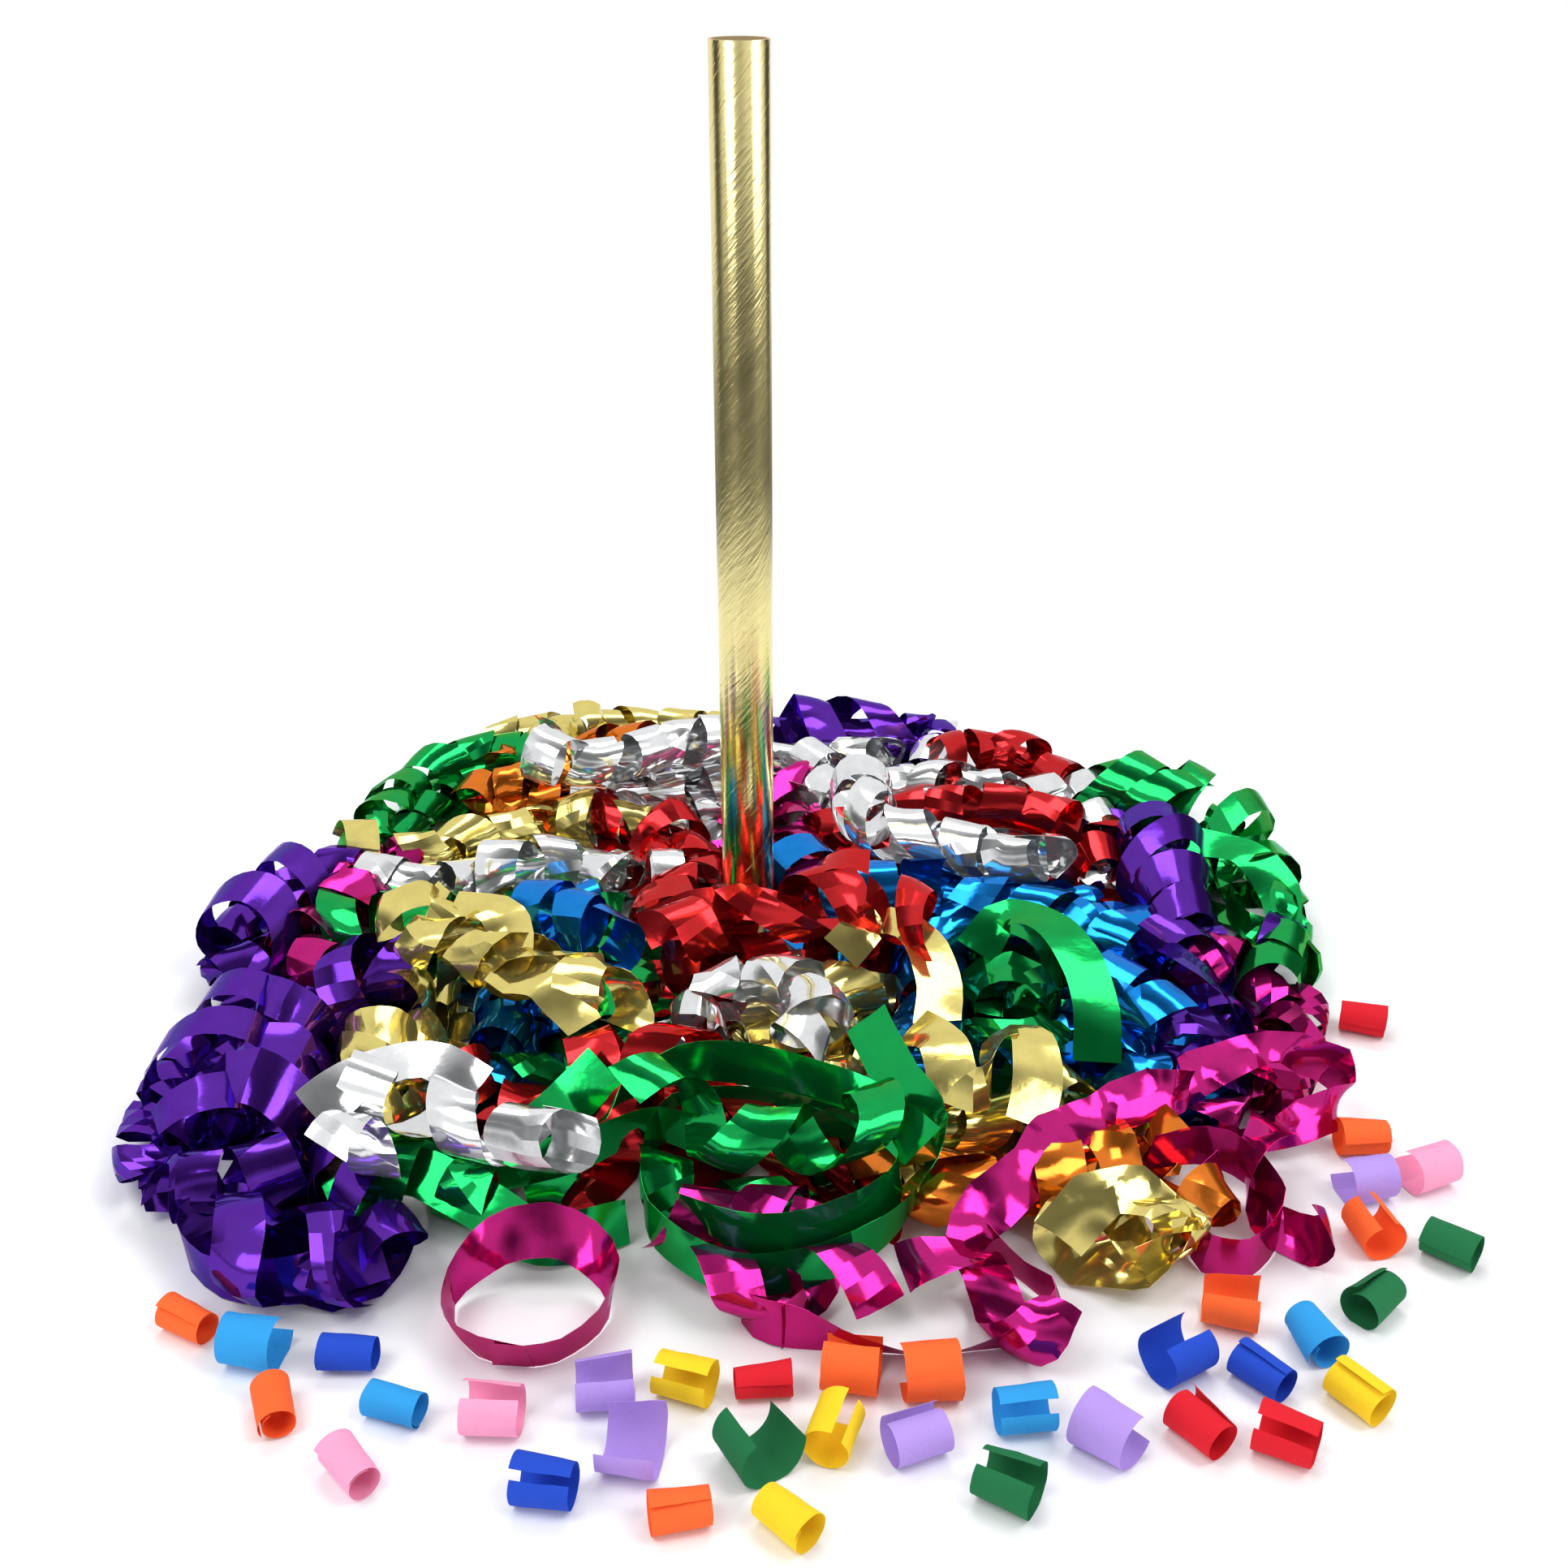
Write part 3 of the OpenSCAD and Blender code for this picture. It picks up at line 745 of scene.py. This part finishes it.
# Name, kind, tier (1 on top of others), and the start, middle and end in cells
STREAMERS = [
    ("green_streamer_back_left", "chain", 0, (-4.1, 5.4), (-5.4, 4.3), (-5.9, 2.2)),
    ("gold_streamer_back", "chain", 0, (-3.2, 6), (-1.8, 6.3), (-0.4, 6.2)),
    ("copper_streamer_back_left", "chain", 0, (-2.6, 5.2), (-3.4, 4.5), (-4.3, 3.9)),
    ("silver_streamer_back", "chain", 0, (-1.7, 5.1), (0.6, 5.2), (2.9, 5)),
    ("purple_streamer_back", "loose", 0, (0.4, 6.2), (2, 6.3), (3.4, 5.9)),
    ("red_streamer_back_right", "chain", 0, (4, 5.5), (4.9, 4.9), (5.5, 3.8)),
    ("green_streamer_right", "loose", 0, (6.4, 3.7), (7.6, 2), (7.4, -0.8)),
    ("magenta_streamer_right", "low", 0, (7.3, -1.7), (7, -3), (6.3, -4.1)),
    ("magenta_streamer_right_end", "open", 0, (5.7, -4.8), (6.1, -5.8), (5.8, -7)),
    ("gold_streamer_front_right", "bundle", 0, (3.3, -6.7), (4.1, -6.7), (4.9, -6.4)),
    ("magenta_streamer_front_right", "open", 0, (1.9, -6.9), (2.5, -7.6), (3.5, -7.9)),
    ("magenta_streamer_front", "open", 0, (1.5, -7.3), (0.2, -7.3), (-1, -7.1)),
    ("green_streamer_front", "open", 0, (-1.5, -5.6), (0.1, -6), (1.6, -5.8)),
    ("green_streamer_front_left", "open", 0, (-4.7, -5.2), (-3.1, -5.7), (-1.8, -5.6)),
    ("purple_streamer_front_left", "loose", 0, (-6.1, -6.2), (-5.1, -6.8), (-4.1, -6.9)),
    ("purple_streamer_left", "low", 0, (-6.6, -2.1), (-7.1, -3.8), (-6.7, -5.6)),
    ("purple_streamer_left_inner", "loose", 0, (-5.4, -1.6), (-5.9, -3.4), (-5.6, -5.4)),
    ("purple_streamer_left_rear", "low", 0, (-6.7, 1.5), (-7.2, 0.2), (-7.3, -1.1)),
    ("magenta_streamer_left", "crumpled", 0, (-6.2, -0.8), (-6.1, 0.2), (-5.7, 1.3)),
    ("gold_streamer_left", "chain", 0, (-5, 1.9), (-4.1, 2.6), (-3, 3)),
    ("silver_streamer_left", "chain", 0, (-4.9, 0.8), (-3.2, 1.7), (-1.6, 1.2)),
    ("green_streamer_left", "loose", 0, (-5.3, -0.4), (-4, -0.1), (-2.5, 0.2)),
    ("gold_streamer_left_low", "crumpled", 0, (-4.4, -1.3), (-4.5, -2.8), (-4.5, -4.3)),
    ("blue_streamer_left", "chain", 0, (-3.2, -0.9), (-3.1, -2.2), (-3.2, -3.6)),
    ("green_streamer_by_tube", "loose", 0, (-2, -0.4), (-1.8, -1.9), (-1.9, -3.6)),
    ("red_streamer_front", "crumpled", 0, (-3.2, -4.5), (-1.2, -4.6), (0.8, -4.8)),
    ("silver_streamer_front", "crumpled", 0, (-0.6, -2.3), (-0.5, -3), (-0.6, -3.8)),
    ("red_streamer_by_tube", "loose", 0, (-1.2, -1), (0.2, -1.3), (1.6, -1)),
    ("gold_streamer_right_low", "chain", 0, (1.2, -4.8), (2.5, -4.8), (3.7, -4.4)),
    ("gold_streamer_right_inner", "loose", 0, (0.8, -2.3), (0.9, -3), (0.8, -3.8)),
    ("blue_streamer_front_right", "chain", 0, (2.6, -0.7), (2.3, -2.2), (2.2, -3.8)),
    ("copper_streamer_front_right", "crumpled", 0, (2.3, -5.9), (3.6, -5.7), (4.9, -5.2)),
    ("green_streamer_right_low", "loose", 0, (3.8, -0.6), (3.5, -2.1), (3.4, -3.5)),
    ("blue_streamer_right_low", "chain", 0, (4.9, -1.2), (4.7, -2.6), (4.7, -4)),
    ("purple_streamer_right", "low", 0, (6.3, 2.3), (6.4, 0.6), (6.2, -1.1)),
    ("purple_streamer_right_low", "loose", 0, (6, -1.8), (5.9, -2.8), (5.6, -3.9)),
    ("blue_streamer_right", "chain", 0, (1.2, 0.4), (3.2, 0.5), (5.2, -0.2)),
    ("red_streamer_right", "chain", 0, (1.7, 1.6), (3.4, 1.6), (5.2, 1.3)),
    ("silver_streamer_right", "chain", 0, (1.7, 2.7), (3.6, 2.8), (5.6, 2.6)),
    ("silver_streamer_back_right", "chain", 0, (1.7, 3.9), (3.1, 4.1), (4.5, 3.8)),
    ("magenta_streamer_behind_tube", "crumpled", 0, (0.7, 1.2), (0.5, 2.6), (0.7, 4.1)),
    ("silver_streamer_back_left", "chain", 0, (-0.3, 4.1), (-1.3, 4), (-2.5, 3.7)),
    ("red_streamer_behind_tube", "crumpled", 0, (-0.6, 1.1), (-1, 2), (-1.5, 2.9)),
    ("red_streamer_before_tube", "loose", 1, (-1.4, -1.9), (0.2, -1.3), (1.9, -1.2)),
    ("gold_streamer_left_top", "crumpled", 1, (-4.4, -1.7), (-3.1, -2.2), (-2.1, -3.3)),
    ("silver_streamer_front_left", "roll", 1, (-4.7, -4.7), (-3.1, -5.7), (-1.7, -6)),
    ("green_streamer_front_top", "open", 1, (-1.6, -5), (0.1, -6), (1.9, -5.2)),
    ("silver_streamer_right_top", "chain", 1, (1.9, 1.1), (3.2, 0.5), (4.6, 0.2)),
    ("silver_streamer_left_top", "chain", 1, (-2.7, 3.3), (-1.3, 4), (0.1, 4.6)),
]
for number, (name, kind, tier, *stops) in enumerate(STREAMERS):
    streamer(name, kind, tier, stops, FIRST_STREAMER_SEED + number)


# The loose loop at the front: it stands on its edge and leans most at its back
LOOP_CRUMPLE = 0.5
LOOP = [
    (-2.3, -8.1, 8, -24), (-2.8, -8, 8, -22), (-3.2, -7.6, 8, -15), (-3.2, -7.1, 11, 0),
    (-2.8, -6.7, 17, -30), (-2.2, -6.6, 19, -50), (-1.7, -6.8, 15, -35), (-1.5, -7.3, 10, -10),
    (-1.7, -7.8, 8, -20), (-2.2, -8.1, 8, -24), (-2.7, -8.1, 9, -24),
]
loop_cut = band(LOOP, LOOP_CRUMPLE, random.Random(LOOP_SEED))
loop = strip_object("magenta_loop_front_film", [loop_cut], FILM_T, film["magenta"])
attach(loop, "magenta_loop_front_body")
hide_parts("magenta_loop_front")
loop_rows, loop_bend = loop_cut
strip_length(loop_bend, loop_rows)


# Confetti: node, then for each slip its place in cells, heading, radius in millimetres and colour
CONFETTI = {
    "confetti_orange": [
        (-6, -7.4, 60, 7, "orange"), (-4.8, -8.6, 20, 6.8, "orange"), (1, -8.3, 80, 8, "orange"),
        (1.8, -8.4, 95, 7, "orange"), (5.1, -7.5, 75, 8, "orange"), (-0.7, -10, 100, 6.8, "orange"),
        (7.4, -4.7, 90, 7, "orange"), (7, -6.3, 10, 7, "orange"),
    ],
    "confetti_blue": [
        (-5.2, -7.8, 80, 7, "sky"), (-4.2, -7.9, 85, 6.8, "blue"), (-3.6, -8.6, 70, 6.8, "sky"),
        (2.7, -8.9, 95, 7, "sky"), (4.4, -8.2, 120, 7, "blue"), (5.9, -7.9, 15, 7.5, "sky"),
        (5.2, -8.4, 40, 6.8, "blue"), (-2, -9.7, 80, 8, "blue"),
    ],
    "confetti_green": [
        (0, -9.3, 30, 7, "green"), (2.4, -9.8, 60, 7, "green"), (6.7, -7.4, 130, 7, "green"),
        (7.8, -6.6, 50, 6.8, "green"),
    ],
    "confetti_yellow": [
        (-0.7, -8.4, 70, 7, "yellow"), (0.8, -9.1, 160, 7, "yellow"), (6.1, -8.7, 35, 6.8, "yellow"),
        (0.3, -10.1, 45, 8, "yellow"),
    ],
    "confetti_pink": [
        (-3.9, -9.4, 40, 7, "pink"), (-2.6, -8.8, 85, 7, "pink"), (-1.5, -8.5, 95, 7.5, "lavender"),
        (-1.2, -9.3, 80, 7.5, "lavender"), (1.6, -9.2, 110, 7.5, "lavender"),
        (3.5, -9.2, 45, 7, "lavender"), (7.2, -5.5, 100, 6.8, "lavender"), (8, -5.3, 110, 6.8, "pink"),
    ],
    "confetti_red": [
        (0.1, -8.4, 95, 6.8, "red"), (4.4, -9.1, 35, 7.5, "red"), (5.2, -9.3, 60, 7, "red"),
        (8.2, -2.2, 70, 8, "red"),
    ],
}

# The roll of a slip: its sizes, start and growth as shares of its radius, and its seam in radians
SLIP_ROLLS = (0.7, 0.8, 0.95, 1.1, 1.25)
SLIP_START = 0.92
SLIP_GROWTH = (0.15, 0.4)
SLIP_SLACK = 0.4
SLIP_SEAM = math.radians(100)
SLIP_SEAM_SPREAD = 1.2
SLIP_CRUMPLE = 0.3 * MM
SLIP_GRAIN = 6 * MM
SLIP_ROWS = 26
UP = Vector((0, 0, 1))


def confetti_slip(node_name, number, x, y, heading, radius, colour):
    """A slip of tissue, loosely rolled or open, lying on the floor."""
    chance = random.Random(f"{node_name} {number}")
    angle = math.radians(heading)
    side_way = Vector((math.cos(angle), math.sin(angle), 0))
    roll_way = Vector((math.sin(angle), -math.cos(angle), 0))
    roll = radius * chance.choice(SLIP_ROLLS) * MM
    growth = chance.uniform(*SLIP_GROWTH)
    lift = roll * (SLIP_START + 0.5 * growth) + FLOOR_GAP
    centre = CELL * Vector((x, y, 0)) + Vector((0, 0, lift))
    slack = chance.uniform(-SLIP_SLACK, SLIP_SLACK)
    seam = SLIP_SEAM + chance.uniform(-SLIP_SEAM_SPREAD, SLIP_SEAM_SPREAD)

    def bend_strip(share, side):
        turn = seam + share * SLIP_L / roll
        reach = roll * (SLIP_START + growth * share + slack * side * share)
        point = centre + side * STRIP_W * roll_way
        point += reach * (math.cos(turn) * side_way + math.sin(turn) * UP)
        point += SLIP_CRUMPLE * noise.noise_vector(point / SLIP_GRAIN)
        point.z = max(point.z, FLOOR_GAP)
        return point

    cuts = [(SLIP_ROWS, bend_strip)]
    slip = strip_object(f"{node_name}_slip_{number}", cuts, TISSUE_T, tissue[colour])
    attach(slip, "heap")
    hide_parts(node_name)


for node_name, slips in CONFETTI.items():
    for number, slip in enumerate(slips):
        confetti_slip(node_name, number, *slip)


# Stage: a white floor that fades into a white surround, soft boxes and dark cards
def stage_card(name, place, turn, width, height, finish):
    """A flat sheet of the stage at a place, turned by degrees."""
    card = bmesh.new()
    bmesh.ops.create_grid(card, x_segments=1, y_segments=1, size=0.5)
    for vert in card.verts:
        flat = Vector((vert.co.x * width, vert.co.y * height, 0))
        flat.rotate(Euler([math.radians(part) for part in turn]))
        vert.co = flat + Vector(place)
    mesh = bpy.data.meshes.new(name)
    card.to_mesh(mesh)
    card.free()
    mesh.materials.append(finish)
    made = bpy.data.objects.new(name, mesh)
    bpy.context.collection.objects.link(made)
    return made


def faded_finish(name, centre, fade_from, fade_to, grain_scale, dark, pale, matt):
    """A matt sheet that fades out with distance from a centre, so that the films show soft steps."""
    finish = Finish(bpy.data.materials.new(name))
    where = finish.node("VectorMath", {"operation": "SUBTRACT"}, {0: finish.place(), 1: centre})
    reach = finish.node("VectorMath", {"operation": "LENGTH"}, {0: where}, "Value")
    sockets = {"Value": reach, "From Min": fade_from, "From Max": fade_to}
    fade = finish.node("MapRange", {"interpolation_type": "SMOOTHSTEP"}, sockets)
    grain = finish.speckle(where, grain_scale)
    sheet = finish.node("BsdfPrincipled", {}, {"Base Color": finish.blend(grain, dark, pale), **matt})
    clear = finish.node("BsdfTransparent", {}, {})
    mixed = finish.node("MixShader", {}, {0: fade, 1: sheet, 2: clear})
    finish.node("OutputMaterial", {}, {"Surface": mixed})
    return finish.holder


white_floor = faded_finish(
    "white_floor", (0, 0, 0), 0.4, 0.63, 300.0, (0.93, 0.93, 0.94), (0.96, 0.96, 0.965),
    {"Roughness": 0.8, "Specular IOR Level": 0.1},
)
stage_card("floor", (0, 0, -0.1 * MM), (0, 0, 0), 2.4, 2.4, white_floor)

# Dark cards that show only in the mirror finishes: place, turn in degrees, width, height, and the fade's ends
CARDS = {
    "overhead": ((0, -0.7, 2.1), (180, 0, 0), 5.0, 4.0, 0.5, 2.2),
    "front": ((0, -2.2, 1.1), (-90, 0, 0), 5.0, 2.2, 0.1, 1.5),
    "under": ((0, -0.6, -0.05), (0, 0, 0), 6.0, 4.0, 1.0, 2.6),
    "left_back": ((-1.67, 0.15, 0.3), (90, 0, 85), 2.2, 1.2, 0.2, 0.9),
    "right_back": ((1.4, 0.9, 0.3), (90, 0, -57), 1.8, 1.2, 0.3, 0.9),
}
for name, (place, turn, width, height, fade_from, fade_to) in CARDS.items():
    dark_card = faded_finish(
        name, place, fade_from, fade_to, 40.0, (0.06, 0.06, 0.06), (0.09, 0.09, 0.09), {"Roughness": 1.0}
    )
    card = stage_card(name + "_card", place, turn, width, height, dark_card)
    card.visible_camera = False
    card.visible_diffuse = False
    card.visible_shadow = False
    card.visible_transmission = False


def soft_box(name, place, aim, width, height, power):
    """A lamp of a width and height in metres and a power in watts, aimed at a point."""
    lamp = bpy.data.lights.new(name, "AREA")
    lamp.shape = "RECTANGLE"
    lamp.size = width
    lamp.size_y = height
    lamp.energy = power
    box = bpy.data.objects.new(name, lamp)
    box.location = place
    box.rotation_euler = (Vector(aim) - Vector(place)).to_track_quat("-Z", "Y").to_euler()
    box.visible_camera = False
    bpy.context.collection.objects.link(box)


soft_box("key_box", (-0.8, -0.5, 1.5), (0, 0, 0), 0.9, 0.9, 11)
soft_box("fill_box", (0.9, -0.4, 1.4), (0, 0, 0), 0.7, 0.7, 8)
soft_box("back_box", (0.1, 0.9, 1.6), (0, 0, 0), 1.2, 0.6, 10)
soft_box("left_box", (-0.95, -1.2, 0.36), (0, 0, 0.3), 0.8, 0.55, 5.5)
soft_box("right_box", (1.35, -0.65, 0.36), (0, 0, 0.3), 0.9, 0.55, 6)

world = Finish(bpy.data.worlds.new("studio"))
bpy.context.scene.world = world.holder
rays = [world.node("LightPath", {}, {}, f"Is {kind} Ray") for kind in ("Camera", "Glossy", "Transmission")]
seen = rays[0] + rays[1] + rays[2]
dim = world.node("Background", {}, {"Color": (0.80, 0.82, 0.85, 1), "Strength": 0.55})
white = world.node("Background", {}, {"Color": (1, 1, 1, 1), "Strength": 1.0})
surround = world.node("MixShader", {}, {0: seen, 1: dim, 2: white})
world.node("OutputWorld", {}, {"Surface": surround})

bpy.context.scene.view_settings.view_transform = "Standard"

# Camera, solved from the tube's ends in the photograph: millimetres, pixels, metres and degrees
SENSOR = 36
FOCAL_PIXELS = 2185
FRAME_PIXELS = 1932
CAMERA_PLACE = (0, -0.634, 0.4028)
CAMERA_TILT = 27.035
CAMERA_TURN = -1.34
view = bpy.data.cameras.new("camera")
view.sensor_width = SENSOR
view.lens = SENSOR * FOCAL_PIXELS / FRAME_PIXELS
camera = bpy.data.objects.new("camera", view)
camera.location = CAMERA_PLACE
camera.rotation_euler = (math.radians(90 - CAMERA_TILT), 0, math.radians(CAMERA_TURN))
bpy.context.collection.objects.link(camera)
bpy.context.scene.camera = camera
